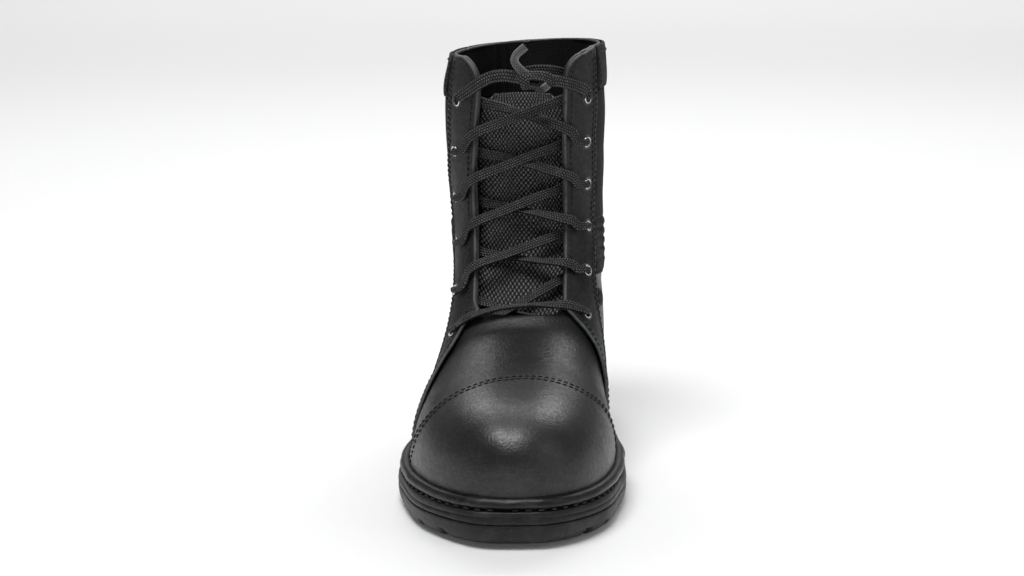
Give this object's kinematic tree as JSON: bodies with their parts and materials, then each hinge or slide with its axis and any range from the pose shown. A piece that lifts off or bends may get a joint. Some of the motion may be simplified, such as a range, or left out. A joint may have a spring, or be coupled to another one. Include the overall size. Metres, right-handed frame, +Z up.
{
  "type": "combat boot",
  "caption": "Right combat boot with a plain toe cap, laced leather and nylon shaft, rolled rubber welt and a lugged heeled sole, hollow inside and open at the collar.",
  "frame": {"origin": "on the floor, under the middle of the sole's length and width", "axes": "+X to the boot's inner (big toe) side, +Y from toe to heel, so the toe points to -Y, +Z up"},
  "size_m": [0.122, 0.3012, 0.2313],
  "materials": {
    "sole_rubber": "matt moulded",
    "welt_rubber": "satin, dusty",
    "leather": "smooth, lightly polished",
    "lining": "matt",
    "tongue_weave": "basket weave",
    "webbing": "woven band",
    "ribbed_nylon": "ribbed",
    "nylon": "coarse weave",
    "nickel": "polished",
    "lace": "flat braid"
  },
  "bodies": {
    "root": {"outsole": "sole_rubber", "midsole": "sole_rubber", "welt": "welt_rubber", "insole": "lining", "upper": "leather", "tongue": "tongue_weave", "toe_cap": "leather", "backstay": "leather", "collar_band": "webbing", "eyestay_inner": "leather", "eyestay_outer": "leather", "ankle_panel_inner": "ribbed_nylon", "ankle_panel_outer": "ribbed_nylon", "shaft_cloth_inner": "nylon", "shaft_cloth_outer": "nylon", "eyelet_inner_1": "nickel", "eyelet_inner_2": "nickel", "eyelet_inner_3": "nickel", "eyelet_inner_4": "nickel", "eyelet_inner_5": "nickel", "eyelet_inner_6": "nickel", "eyelet_outer_1": "nickel", "eyelet_outer_2": "nickel", "eyelet_outer_3": "nickel", "eyelet_outer_4": "nickel", "eyelet_outer_5": "nickel", "eyelet_outer_6": "nickel", "lace_bar": "lace", "lace_cross_1": "lace", "lace_cross_2": "lace", "lace_cross_3": "lace", "lace_cross_4": "lace", "lace_cross_5": "lace", "lace_tie_outer": "lace", "lace_tie_inner": "lace", "lace_end_outer": "lace", "lace_end_inner": "lace", "lace_knot": "lace"}
  },
  "joints": []
}
